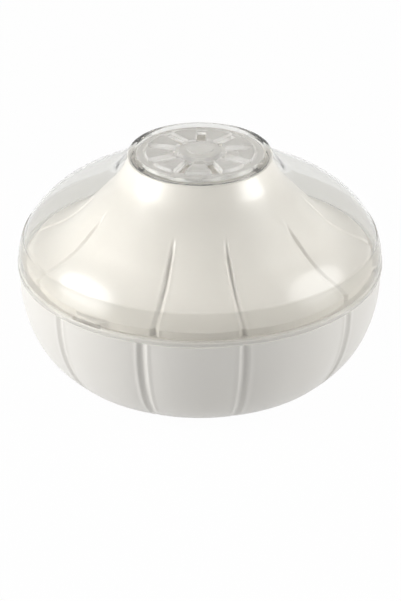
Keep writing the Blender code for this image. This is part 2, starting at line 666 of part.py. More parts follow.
def make_pivot(lid, plastic):
    """The snap pivot: a flat head on the dial's hub, a shank and a barb under the clip."""
    head_low = DECK_HEIGHT + SEAT_GAP + DIAL_THICKNESS + HUB_RISE + SEAT_GAP
    head_high = head_low + PIVOT_HEAD_THICKNESS
    clip_low = DECK_HEIGHT - DECK_THICKNESS - SEAT_GAP - CLIP_THICKNESS
    barb_high = clip_low - SEAT_GAP
    barb_low = barb_high - PIVOT_BARB_HEIGHT
    profile = [(0.0, barb_low), (PIVOT_RADIUS - PIVOT_BARB_PROUD, barb_low),
               (PIVOT_RADIUS + PIVOT_BARB_PROUD, barb_high), (PIVOT_RADIUS, barb_high),
               (PIVOT_RADIUS, head_low), (PIVOT_HEAD_RADIUS, head_low),
               (PIVOT_HEAD_RADIUS, head_high - PIVOT_HEAD_EDGE),
               (PIVOT_HEAD_RADIUS - PIVOT_HEAD_EDGE, head_high), (0.0, head_high)]
    work = bmesh.new()
    add_turned(work, [(radius, height, 0.0) for radius, height in profile],
               even_azimuths(PIVOT_COLUMNS))
    return finish("dial_pivot", work, 0.0, lid, plastic)


def make_clip(lid, plastic):
    """The push-on clip that keeps the pivot in the lid's deck."""
    hole = PIVOT_RADIUS + PIVOT_CLEARANCE
    high = DECK_HEIGHT - DECK_THICKNESS - SEAT_GAP
    low = high - CLIP_THICKNESS
    profile = [(hole, low), (CLIP_RADIUS, low), (CLIP_RADIUS, high), (hole, high)]
    work = bmesh.new()
    add_turned(work, [(radius, height, 0.0) for radius, height in profile],
               even_azimuths(PIVOT_COLUMNS))
    return finish("pivot_clip", work, 0.0, lid, plastic)


def main():
    """Clear the scene and make the keeper's seven pieces."""
    for old in list(bpy.data.objects):
        bpy.data.objects.remove(old, do_unlink=True)
    bowl = make_bowl(material("bowl_pearl_plastic", PEARL, PEARL_ROUGHNESS))
    make_grid(bowl, material("grid_white_plastic", PEARL, MATT_ROUGHNESS))
    cover = make_cover(bowl, material("cover_pearl_plastic", PEARL, PEARL_ROUGHNESS))
    lid = make_lid(cover, material("lid_clear_plastic", CLEAR, CLEAR_ROUGHNESS, 1.0))
    make_dial(lid, material("dial_clear_plastic", CLEAR, CLEAR_ROUGHNESS, 1.0))
    make_pivot(lid, material("pivot_clear_plastic", CLEAR, CLEAR_ROUGHNESS, 1.0))
    make_clip(lid, material("clip_white_plastic", PEARL, MATT_ROUGHNESS))


main()
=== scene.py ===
"""Looks of a garlic keeper: lobed pearl bowl and inner cover, clear vented lid, drain grid.

Lengths are in metres and angles in degrees. Azimuths count from the front (-Y) towards the right (+X).
Every round piece is one grid of points: a profile of rings carried round the axis by columns.
"""

import logging
import math
from dataclasses import dataclass
from enum import Enum

import bmesh
import bpy
import numpy as np
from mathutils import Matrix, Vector


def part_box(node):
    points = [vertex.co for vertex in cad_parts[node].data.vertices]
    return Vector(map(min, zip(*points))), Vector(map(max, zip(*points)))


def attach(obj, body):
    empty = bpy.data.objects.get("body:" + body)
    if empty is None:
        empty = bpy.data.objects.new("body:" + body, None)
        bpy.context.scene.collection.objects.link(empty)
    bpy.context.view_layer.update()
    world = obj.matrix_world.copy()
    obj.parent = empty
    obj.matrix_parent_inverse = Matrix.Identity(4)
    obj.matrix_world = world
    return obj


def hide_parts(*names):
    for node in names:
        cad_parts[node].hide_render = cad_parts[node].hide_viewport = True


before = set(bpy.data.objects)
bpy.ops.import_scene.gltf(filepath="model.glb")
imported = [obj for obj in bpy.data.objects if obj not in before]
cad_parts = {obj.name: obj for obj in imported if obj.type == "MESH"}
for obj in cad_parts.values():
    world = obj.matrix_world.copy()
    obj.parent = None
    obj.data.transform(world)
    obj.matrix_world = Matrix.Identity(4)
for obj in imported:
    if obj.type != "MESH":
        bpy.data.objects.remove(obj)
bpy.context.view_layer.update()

MM = 0.001
WELD_DISTANCE = 1e-7
ROUNDING_STEPS = 4                     # stretches in each rounded corner
MOST_OF_AN_EDGE = 0.48                 # share of an edge that one rounding may take up
PLASTIC_IOR = 1.49                     # polypropylene
LOG = logging.getLogger("garlic_keeper")


class Slot(Enum):
    """Names of the material slots."""

    PEARL = "pearl_plastic"
    WHITE = "white_plastic"
    CLEAR = "clear_plastic"


class Body(Enum):
    """The bodies that pieces ride on."""

    BOWL = "bowl"
    GRID = "grid"
    COVER = "cover"
    LID = "lid"
    DIAL = "dial"


def linear(hex_colour: str) -> tuple[float, float, float, float]:
    """Turn an sRGB hex colour into linear light.

    Args:
        hex_colour: Six hex digits, red first.

    Returns:
        Red, green, blue and an alpha of one.
    """
    shares = [int(hex_colour[index:index + 2], 16) / 255 for index in (0, 2, 4)]
    lit = [share / 12.92 if share <= 0.04045 else ((share + 0.055) / 1.055) ** 2.4 for share in shares]
    return (*lit, 1.0)


def wire(tree: bpy.types.NodeTree, node: bpy.types.Node, settings: dict | None = None,
         links: dict | None = None) -> bpy.types.Node:
    """Give a node its settings and its incoming links.

    Args:
        tree: The node's tree.
        node: The node.
        settings: Attributes by name, and socket values by socket name or number.
        links: Output sockets by the name or number of the input they go to.

    Returns:
        The node.
    """
    for key, value in (settings or {}).items():
        if isinstance(key, str) and hasattr(node, key):
            setattr(node, key, value)
        else:
            node.inputs[key].default_value = value
    for key, output in (links or {}).items():
        tree.links.new(output, node.inputs[key])
    return node


def add_node(tree: bpy.types.NodeTree, kind: str, settings: dict | None = None,
             links: dict | None = None) -> bpy.types.Node:
    """Add one node of a kind with its settings and its incoming links, as wire gives them."""
    return wire(tree, tree.nodes.new(kind), settings, links)


def smooth_step(values: np.ndarray) -> np.ndarray:
    """Zero below 0, one above 1, and 3t^2 - 2t^3 between them."""
    t = np.clip(values, 0.0, 1.0)
    return t * t * (3 - 2 * t)


def bezier(points: list[tuple[float, float]], steps: int) -> np.ndarray:
    """Points of a cubic Bezier curve: the sum of its four handles with Bernstein weights.

    Args:
        points: Start, two handles and end.
        steps: Number of stretches.

    Returns:
        Array of steps + 1 rows of two coordinates.
    """
    t = np.linspace(0.0, 1.0, steps + 1)[:, None]
    start, first, second, end = (np.array(point) for point in points)
    s = 1 - t
    return s ** 3 * start + 3 * s * s * t * first + 3 * s * t * t * second + t ** 3 * end


def offset(curve: np.ndarray, distance: float) -> np.ndarray:
    """A curve of (radius, height) moved sideways, to the left of the way it runs.

    Args:
        curve: Points of the curve.
        distance: How far it moves.

    Returns:
        The moved points.
    """
    ways = np.gradient(curve, axis=0)
    ways /= np.linalg.norm(ways, axis=1, keepdims=True)
    return curve + distance * np.stack((-ways[:, 1], ways[:, 0]), axis=1)


def fillet(before: np.ndarray, corner: np.ndarray, after: np.ndarray, steps: int) -> np.ndarray:
    """A parabola that leaves one edge and joins the next: (1-t)^2 before + 2t(1-t) corner + t^2 after.

    Args:
        before: Where it leaves the first edge.
        corner: Where the edges would meet.
        after: Where it joins the second edge.
        steps: Number of stretches.

    Returns:
        Array of steps + 1 points.
    """
    t = np.linspace(0.0, 1.0, steps + 1)[:, None]
    return (1 - t) ** 2 * before + 2 * t * (1 - t) * corner + t ** 2 * after


class Profile:
    """A line of rings: radius, height, then the share of each relief that a ring carries."""

    def __init__(self, reliefs: int) -> None:
        """Start an empty line.

        Args:
            reliefs: How many reliefs the piece has.
        """
        self.reliefs = reliefs
        self.rows: list[np.ndarray] = []

    def corners(self, *corners: tuple[float, ...]) -> None:
        """Add one ring for each corner of the outline.

        Args:
            corners: Radius, height, length of edge that the rounding takes up on each side, and the share of
                each relief. What is left out at the end is zero.
        """
        for corner in corners:
            radius, height, rounding, *shares = list(corner) + [0.0] * (self.reliefs + 3 - len(corner))
            self.rows.append(np.array([[radius, height, *shares, rounding]]))

    def curve(self, points: np.ndarray, *shares: np.ndarray | float) -> None:
        """Add a smooth run of rings.

        Args:
            points: Radius and height of each ring.
            shares: Share of each relief, one number or one for each ring.
        """
        columns = np.zeros((len(points), self.reliefs + 3))
        columns[:, :2] = points
        for index, share in enumerate(shares):
            columns[:, 2 + index] = share
        self.rows.append(columns)

    def rings(self, steps: int = ROUNDING_STEPS) -> np.ndarray:
        """The finished rings, each rounded corner a parabola from edge to edge.

        Args:
            steps: Stretches in each rounding.

        Returns:
            Rows of radius, height and relief shares.
        """
        rows = np.concatenate(self.rows)
        points, rounding = rows[:, :-1], rows[:, -1]
        before = np.roll(points, 1, axis=0) - points
        after = np.roll(points, -1, axis=0) - points
        lengths = [np.maximum(np.linalg.norm(way[:, :2], axis=1), WELD_DISTANCE) for way in (before, after)]
        t = np.linspace(0.0, 1.0, steps + 1)[None, :, None]
        cuts = [np.minimum(rounding / length, MOST_OF_AN_EDGE)[:, None] for length in lengths]
        start = (points + before * cuts[0])[:, None, :]
        end = (points + after * cuts[1])[:, None, :]
        arcs = (1 - t) ** 2 * start + 2 * t * (1 - t) * points[:, None, :] + t ** 2 * end
        kept = (rounding > 0)[:, None] | (np.arange(steps + 1) == 0)[None, :]
        return arcs[kept]


@dataclass(frozen=True)
class Opening:
    """A hole through a plate, from one ring and column to another on its top, and the same on its bottom."""

    top: tuple[int, int]
    bottom: tuple[int, int]
    columns: tuple[int, int]


def wrapped_quads(rings: int, columns: int, looped: bool, openings: list[Opening]) -> np.ndarray:
    """Faces between neighbouring rings and columns, with walls round each opening.

    Args:
        rings: Number of rings.
        columns: Number of columns, which always close round the axis.
        looped: Whether the last ring joins the first.
        openings: Holes through the piece.

    Returns:
        Rows of four vertex numbers.
    """
    index = np.arange(rings * columns).reshape(rings, columns)
    lower = index if looped else index[:-1]
    upper = np.roll(index, -1, axis=0) if looped else index[1:]
    quads = np.stack((lower, np.roll(lower, -1, axis=1), np.roll(upper, -1, axis=1), upper), axis=-1)
    kept = np.ones(quads.shape[:2], bool)
    walls = []
    for hole in openings:
        across = np.arange(hole.columns[0], hole.columns[1] + 1) % columns
        for first, last in (hole.top, hole.bottom):
            kept[np.ix_(np.arange(first, last), across[:-1])] = False
        loops = [hole_edge(index, rows, across) for rows in (hole.top, hole.bottom[::-1])]
        walls.append(np.stack((loops[0], np.roll(loops[0], -1), np.roll(loops[1], -1), loops[1]), axis=-1))
    return np.concatenate([quads[kept]] + walls)


def hole_edge(index: np.ndarray, rows: tuple[int, int], across: np.ndarray) -> np.ndarray:
    """Vertex numbers round a rectangle of rings and columns, in one direction.

    Args:
        index: Vertex numbers by ring and column.
        rows: The ring on the hole's first side and on its last.
        across: Its columns.

    Returns:
        The numbers in order round the hole.
    """
    step = 1 if rows[1] > rows[0] else -1
    down = np.arange(rows[0], rows[1] + step, step)
    return np.concatenate((index[down[0], across[:-1]], index[down[:-1], across[-1]],
                           index[down[-1], across[:0:-1]], index[down[:0:-1], across[0]]))


def nearest_ring(rings: np.ndarray, radius: float, height: float) -> int:
    """Number of the ring nearest to a radius and height."""
    return int(np.argmin(np.hypot(rings[:, 0] - radius, rings[:, 1] - height)))


def round_points(radius: np.ndarray, azimuth: np.ndarray, height: np.ndarray) -> np.ndarray:
    """Points at a radius, azimuth and height: x = r sin a, y = -r cos a, z = height."""
    radius, azimuth, height = np.broadcast_arrays(radius, azimuth, height)
    return np.stack((radius * np.sin(azimuth), -radius * np.cos(azimuth), height), axis=-1)


def solid_piece(name: str, parts: list[tuple[np.ndarray, np.ndarray]]) -> bpy.types.Object:
    """Make one object of closed surfaces, welded at their poles, with its faces pointing out.

    Args:
        name: The piece's name.
        parts: Points and quads of each surface.

    Returns:
        The new object.
    """
    starts = np.cumsum([0] + [len(points.reshape(-1, 3)) for points, _ in parts[:-1]])
    points = np.concatenate([points.reshape(-1, 3) for points, _ in parts])
    quads = np.concatenate([faces + start for (_, faces), start in zip(parts, starts)])
    mesh = bpy.data.meshes.new(name)
    mesh.from_pydata(points.tolist(), [], quads.tolist())
    work = bmesh.new()
    work.from_mesh(mesh)
    bmesh.ops.remove_doubles(work, verts=work.verts, dist=WELD_DISTANCE)
    bmesh.ops.recalc_face_normals(work, faces=work.faces)
    work.to_mesh(mesh)
    work.free()
    made = bpy.data.objects.new(name, mesh)
    bpy.context.scene.collection.objects.link(made)
    return made


def settle(piece: bpy.types.Object, material: bpy.types.Material, body: Body,
           node: str, smooth_angle: float = 40.0) -> bpy.types.Object:
    """Dress a piece and put it on its body in the place of its node.

    Args:
        piece: The piece.
        material: Its material.
        body: The body that it rides on.
        node: The node that it stands for.
        smooth_angle: Sharpest turn that is shaded smooth.

    Returns:
        The piece.
    """
    piece.data.materials.append(material)
    piece.data.shade_smooth()
    piece.data.set_sharp_from_angle(angle=math.radians(smooth_angle))
    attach(piece, body.value)
    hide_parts(node)
    return piece


def start_material(name: str) -> tuple[bpy.types.Material, bpy.types.NodeTree, bpy.types.NodeSocket]:
    """A new material, its node tree, and the place on the object of each of its points."""
    material = bpy.data.materials.new(name)
    material.use_nodes = True
    tree = material.node_tree
    return material, tree, add_node(tree, "ShaderNodeTexCoord").outputs["Object"]


def relief_normal(tree: bpy.types.NodeTree, place: bpy.types.NodeSocket, size: float, detail: float,
                  strength: float, depth: float) -> bpy.types.NodeSocket:
    """Normals of an even relief, such as a moulding's ripple or a mould's grain.

    Args:
        tree: The material's node tree.
        place: The place of each point.
        size: How far apart the swells lie.
        detail: How many finer swells lie on them.
        strength: How strongly they show.
        depth: How high they stand.

    Returns:
        The socket with the normals.
    """
    swells = add_node(tree, "ShaderNodeTexNoise", {"Scale": 1 / size, "Detail": detail}, {"Vector": place})
    bump = add_node(tree, "ShaderNodeBump", {"Strength": strength, "Distance": depth},
                    {"Height": swells.outputs["Fac"]})
    return bump.outputs["Normal"]


@dataclass(frozen=True)
class PearlPlastic:
    """Polypropylene with a pearl pigment, injection moulded: satin, warm white, very slightly rippled."""

    name: str = "polypropylene_pearl_moulded"
    colour: str = "dcdad5"
    shade: str = "d6d3cd"
    roughness: float = 0.36
    coat: float = 0.15                 # the pearl's soft sheen
    coat_roughness: float = 0.25
    ripple_size: float = 7.0 * MM      # moulding ripple, drawn a little coarser so that it shows
    ripple_strength: float = 0.05
    ripple_depth: float = 0.3 * MM
    cloud_size: float = 60.0 * MM      # how far apart the pigment's streaks lie

    def make(self) -> bpy.types.Material:
        """Build the material: pigment clouds in the colour and a fine ripple in the relief."""
        material, tree, place = start_material(self.name)
        clouds = add_node(tree, "ShaderNodeTexNoise", {"Scale": 1 / self.cloud_size, "Detail": 3.0},
                          {"Vector": place})
        mix = add_node(tree, "ShaderNodeMix",
                       {"data_type": "RGBA", 6: linear(self.colour), 7: linear(self.shade)},
                       {0: clouds.outputs["Fac"]})
        normal = relief_normal(tree, place, self.ripple_size, 2.0, self.ripple_strength, self.ripple_depth)
        wire(tree, tree.nodes["Principled BSDF"],
             {"Roughness": self.roughness, "IOR": PLASTIC_IOR, "Coat Weight": self.coat,
              "Coat Roughness": self.coat_roughness},
             {"Base Color": mix.outputs[2], "Normal": normal})
        return material


@dataclass(frozen=True)
class MattPlastic:
    """Plain white polypropylene from a spark-eroded mould: matt, with a fine even grain."""

    name: str = "polypropylene_white_spark_eroded"
    colour: str = "efece6"
    roughness: float = 0.55
    grain_size: float = 0.9 * MM
    grain_strength: float = 0.2
    grain_depth: float = 0.1 * MM

    def make(self) -> bpy.types.Material:
        """Build the material: an even colour with a fine grain in the relief."""
        material, tree, place = start_material(self.name)
        normal = relief_normal(tree, place, self.grain_size, 1.0, self.grain_strength, self.grain_depth)
        wire(tree, tree.nodes["Principled BSDF"],
             {"Base Color": linear(self.colour), "Roughness": self.roughness, "IOR": PLASTIC_IOR},
             {"Normal": normal})
        return material


def see_through(tree: bpy.types.NodeTree, density: float) -> None:
    """Let shadow rays straight through a clear plastic, and give its inside a faint grey.

    Args:
        tree: The material's node tree.
        density: Of the grey, for each metre.
    """
    path = add_node(tree, "ShaderNodeLightPath")
    through = add_node(tree, "ShaderNodeBsdfTransparent")
    both = add_node(tree, "ShaderNodeMixShader",
                    links={0: path.outputs["Is Shadow Ray"], 1: tree.nodes["Principled BSDF"].outputs[0],
                           2: through.outputs[0]})
    grey = add_node(tree, "ShaderNodeVolumeAbsorption", {"Color": linear("808080"), "Density": density})
    wire(tree, tree.nodes["Material Output"], links={"Surface": both.outputs[0], "Volume": grey.outputs[0]})


@dataclass(frozen=True)
class ClearPlastic:
    """Styrene acrylonitrile, injection moulded: clear and glossy, faintly milky, grey where it is thick."""

    name: str = "styrene_acrylonitrile_clear_moulded"
    colour: str = "f8f8f6"
    band_colour: str = "e9e8e4"
    roughness: float = 0.04
    band_roughness: float = 0.18       # the band is faintly frosted
    transmission: float = 0.97         # the rest scatters, as a thin haze
    band_transmission: float = 0.90
    bead_transmission: float = 0.65
    ior: float = 1.05                  # SAN has 1.57; lower, because the lid bends next to nothing behind it
    density: float = 12.0              # of the grey that shows along the wall's edges, for each metre
    gloss: float = 0.5                 # a skin that gives back the highlights that the low index loses
    gloss_roughness: float = 0.20
    band_top: float = 87.0 * MM        # the lid's thicker band ends here
    band_fade: float = 0.6 * MM        # height over which its finish changes
    bead_top: float = 71.3 * MM        # and the bead under it here
    bead_fade: float = 0.4 * MM

    def make(self) -> bpy.types.Material:
        """Build the material: clear plastic whose shadow rays pass straight through."""
        material, tree, place = start_material(self.name)
        height = add_node(tree, "ShaderNodeSeparateXYZ", links={0: place})
        band = add_node(tree, "ShaderNodeMapRange",
                        {"From Min": self.band_top, "From Max": self.band_top + self.band_fade},
                        {"Value": height.outputs["Z"]})
        mix = add_node(tree, "ShaderNodeMix",
                       {"data_type": "RGBA", 6: linear(self.band_colour), 7: linear(self.colour)},
                       {0: band.outputs["Result"]})
        frost = add_node(tree, "ShaderNodeMapRange",
                         {"To Min": self.band_roughness, "To Max": self.roughness},
                         {"Value": band.outputs["Result"]})
        bead = add_node(tree, "ShaderNodeMapRange",
                        {"From Min": self.bead_top, "From Max": self.bead_top + self.bead_fade,
                         "To Min": self.bead_transmission, "To Max": self.band_transmission},
                        {"Value": height.outputs["Z"]})
        clear = add_node(tree, "ShaderNodeMapRange", {"To Max": self.transmission},
                         {"Value": band.outputs["Result"], "To Min": bead.outputs["Result"]})
        wire(tree, tree.nodes["Principled BSDF"],
             {"IOR": self.ior, "Coat Weight": self.gloss, "Coat Roughness": self.gloss_roughness},
             {"Transmission Weight": clear.outputs["Result"], "Base Color": mix.outputs[2],
              "Roughness": frost.outputs["Result"]})
        see_through(tree, self.density)
        return material


@dataclass(frozen=True)
class HazyPlastic:
    """Styrene acrylonitrile with a trace of white, injection moulded: milky, glossy, faintly rippled."""

    name: str = "styrene_acrylonitrile_hazy_moulded"
    colour: str = "f6f5f2"
    roughness: float = 0.08
    transmission: float = 0.72
    ior: float = 1.2                   # lower than the real one, as in the clear lid
    density: float = 12.0
    ripple_size: float = 5.0 * MM
    ripple_strength: float = 0.05
    ripple_depth: float = 0.1 * MM

    def make(self) -> bpy.types.Material:
        """Build the material: an even milky plastic with a faint ripple in the relief."""
        material, tree, place = start_material(self.name)
        normal = relief_normal(tree, place, self.ripple_size, 2.0, self.ripple_strength, self.ripple_depth)
        wire(tree, tree.nodes["Principled BSDF"],
             {"Base Color": linear(self.colour), "Roughness": self.roughness, "IOR": self.ior,
              "Transmission Weight": self.transmission},
             {"Normal": normal})
        see_through(tree, self.density)
        return material


@dataclass
class Cloves:
    """The lobes of a bulb: where their grooves run, and how they crown between them."""

    grooves: tuple[float, ...]
    radius: float
    width: float = 5.6 * MM
    depth: float = 1.6 * MM
    lip: float = 0.5 * MM              # how far the edges of a groove stand up
    lip_width: float = 1.1 * MM
    crown: float = 1.5 * MM
    crown_power: float = 2.6
    columns: int = 46
    gathering: float = 0.92            # how closely columns gather at the grooves

    def azimuths(self) -> np.ndarray:
        """Column azimuths: within a clove, u - k sin(2 pi u) / (2 pi), which crowds both ends.

        Returns:
            Azimuths in radians, rising from the first groove.
        """
        u = np.arange(self.columns) / self.columns
        share = u - self.gathering * np.sin(2 * np.pi * u) / (2 * np.pi)
        starts, widths = self.spans()
        return (starts[:, None] + widths[:, None] * share[None, :]).ravel()

    def spans(self) -> tuple[np.ndarray, np.ndarray]:
        """Start and width of each clove, in radians."""
        starts = np.radians(self.grooves)
        return starts, np.diff(np.append(starts, starts[0] + 2 * np.pi))

    def relief(self) -> np.ndarray:
        """How far each column lies inside the round: the clove's crown and the groove, less the groove's lips.

        The crown is c |2u - 1|^p, the groove d (1 - (s/w)^2)^2, and a lip h exp(-((s - w) / b)^2), a bell
        curve just outside the groove's edge.

        Returns:
            One depth for each column.
        """
        starts, widths = self.spans()
        azimuths = self.azimuths().reshape(len(starts), self.columns)
        along = (azimuths - starts[:, None]) / widths[:, None]
        nearest = np.minimum(along, 1 - along) * widths[:, None] * self.radius
        crown = self.crown * np.abs(2 * along - 1) ** self.crown_power
        groove = self.depth * np.clip(1 - (nearest / (self.width / 2)) ** 2, 0.0, 1.0) ** 2
        lip = self.lip * np.exp(-((nearest - self.width / 2) / self.lip_width) ** 2)
        return (crown + groove - lip).ravel()


@dataclass
class Lugs:
    """The three bayonet lugs between inner cover and lid."""

    count: int = 3
    middle: float = -36.6
    arc: float = 10.4
    stop_arc: float = 0.95
    end_length: float = 1.2            # degrees over which an end rounds off
    lid_low: float = 70.2 * MM
    lid_high: float = 71.8 * MM
    cover_low: float = 72.1 * MM
    cover_shoulder: float = 73.9 * MM
    cover_crest: float = 74.1 * MM
    undercut: float = 0.01 * MM        # height of the step under a cover lug
    slope: float = 0.3 * MM            # height of the slope beside a lid lug

    def shares(self, azimuths: np.ndarray, start: float, end: float) -> np.ndarray:
        """One within each lug's arc and zero outside it, with ends rounded as a quarter circle.

        Args:
            azimuths: Column azimuths in radians.
            start: Degrees from a lug's middle to the arc's start.
            end: Degrees from a lug's middle to the arc's end.

        Returns:
            One share for each column.
        """
        period = 360 / self.count
        from_middle = (np.degrees(azimuths) - self.middle + period / 2) % period - period / 2
        inside = np.minimum(from_middle - start, end - from_middle) / self.end_length
        t = np.clip(inside, 0.0, 1.0)
        return np.sqrt(1 - (1 - t) ** 2)


@dataclass
class Vents:
    """Nine slots of even width in dial and deck, and the columns that keep their sides parallel."""

    count: int = 9
    first: float = 18.0
    inner: float = 15.2 * MM
    outer: float = 31.0 * MM
    width: float = 5.2 * MM
    margin: float = 0.5 * MM           # from a slot to the foot of the sector beside it
    draft: float = 0.35 * MM           # width of a sector's sloping side
    slot_columns: int = 4
    side_columns: int = 4              # the feet and tops of the sloping sides, two beside each side
    sector_columns: int = 26

    @property
    def period_columns(self) -> int:
        """Columns from one slot to the next."""
        return self.slot_columns + self.side_columns + self.sector_columns

    def azimuths(self, radii: np.ndarray) -> np.ndarray:
        """Column azimuths by ring: a slot's middle plus asin(offset / radius), so that its sides run parallel.

        Args:
            radii: Radius of each ring.

        Returns:
            Azimuths in radians, by ring and column, starting at a slot's side.
        """
        reach = np.clip(radii, self.inner, self.outer)[:, None]
        half = self.width / 2
        slot = np.linspace(-half, half, self.slot_columns + 1)[None, :]
        side = np.array([self.margin, self.margin + self.draft])[None, :] + half
        beside = np.arcsin(side / reach)
        period = 2 * np.pi / self.count
        share = np.linspace(0.0, 1.0, self.sector_columns + 2)[None, 1:-1]
        sector = beside[:, -1:] + (period - 2 * beside[:, -1:]) * share
        one = np.concatenate((np.arcsin(slot / reach), beside, sector, period - beside[:, ::-1]), axis=1)
        turns = math.radians(self.first) + period * np.arange(self.count)
        return (turns[None, :, None] + one[:, None, :]).reshape(len(radii), -1)

    def sector_shares(self) -> np.ndarray:
        """One on the columns of a raised sector, zero on and beside a slot."""
        one = np.zeros(self.period_columns + 1)
        one[self.slot_columns + self.side_columns // 2:self.period_columns] = 1.0
        return np.tile(one, self.count)

    def openings(self, rings: np.ndarray, top: float, bottom: float) -> list[Opening]:
        """The slots as holes through a plate.

        Args:
            rings: The piece's rings.
            top: Height of the plate's top.
            bottom: Height of its bottom.

        Returns:
            One opening for each slot.
        """
        above = (nearest_ring(rings, self.outer, top), nearest_ring(rings, self.inner, top))
        below = (nearest_ring(rings, self.inner, bottom), nearest_ring(rings, self.outer, bottom))
        stride = self.period_columns + 1
        return [Opening(above, below, (index * stride, index * stride + self.slot_columns))
                for index in range(self.count)]


@dataclass
class Bowl:
    """The lobed bowl: foot ring, side, thick rim and smooth floor."""

    radius: float = 109.5 * MM
    height: float = 68.0 * MM
    wall: float = 2.4 * MM
    floor: float = 3.6 * MM
    floor_gap: float = 0.4 * MM        # from the floor up to the lowest ring of the side
    foot_radius: float = 60.0 * MM
    foot_width: float = 8.0 * MM
    foot_recess: float = 1.0 * MM
    rim_width: float = 4.0 * MM
    rim_taper: float = 9.0 * MM
    curve_top_share: float = 0.94
    side_pull_share: float = 0.42
    base_pull_share: float = 0.735
    fade_share: float = 0.30
    grooves: tuple[float, ...] = (-48.0, -17.5, 13.4, 51.7, 93.0, 134.0, 177.0, 222.0, 268.0)
    groove_depth: float = 0.7 * MM
    groove_width: float = 6.6 * MM
    steps: int = 64
    foot_edge: float = 0.5 * MM
    rim_outer_edge: float = 0.6 * MM
    rim_inner_edge: float = 0.8 * MM
    taper_edge: float = 4.0 * MM
    floor_edge: float = 1.5 * MM

    def side(self) -> np.ndarray:
        """The outer curve from the foot to where the side stands straight."""
        straight = self.height * self.curve_top_share
        width = self.radius - self.foot_radius
        return bezier([(self.foot_radius, 0.0),
                       (self.foot_radius + width * self.base_pull_share, 0.0),
                       (self.radius, straight * (1 - self.side_pull_share)),
                       (self.radius, straight)], self.steps)

    def weight(self, heights: np.ndarray) -> np.ndarray:
        """Relief of the cloves: none at the foot, all of it higher up."""
        return smooth_step(heights / (self.height * self.fade_share))

    def build(self) -> bpy.types.Object:
        """Carry the bowl's profile round the axis.

        Returns:
            The bowl.
        """
        cloves = Cloves(self.grooves, self.radius, self.groove_width, self.groove_depth)
        side = self.side()
        inside = offset(side, self.wall)[::-1]
        heights = inside[:, 1]
        inside = inside[(heights > self.floor + self.floor_gap) &
                        (heights < self.height - 2 * self.rim_taper)]
        rim_inner = self.radius - self.rim_width
        inner_foot = self.foot_radius - self.foot_width
        line = Profile(1)
        line.corners((0.0, self.foot_recess), (inner_foot, self.foot_recess, self.foot_edge),
                     (inner_foot, 0.0, self.foot_edge))
        line.curve(side[1:], self.weight(side[1:, 1]))
        line.corners((self.radius, self.height, self.rim_outer_edge, 1.0),
                     (rim_inner, self.height, self.rim_inner_edge),
                     (rim_inner, self.height - self.rim_taper, self.taper_edge))
        line.curve(inside, self.weight(inside[:, 1]))
        line.corners((inside[-1, 0] - self.wall, self.floor, self.floor_edge), (0.0, self.floor))
        rings = line.rings()
        radius = rings[:, :1] - rings[:, 2:] @ cloves.relief()[None, :]
        points = round_points(radius, cloves.azimuths()[None, :], rings[:, 1:2])
        return solid_piece("bowl_shell", [(points, wrapped_quads(*points.shape[:2], False, []))])


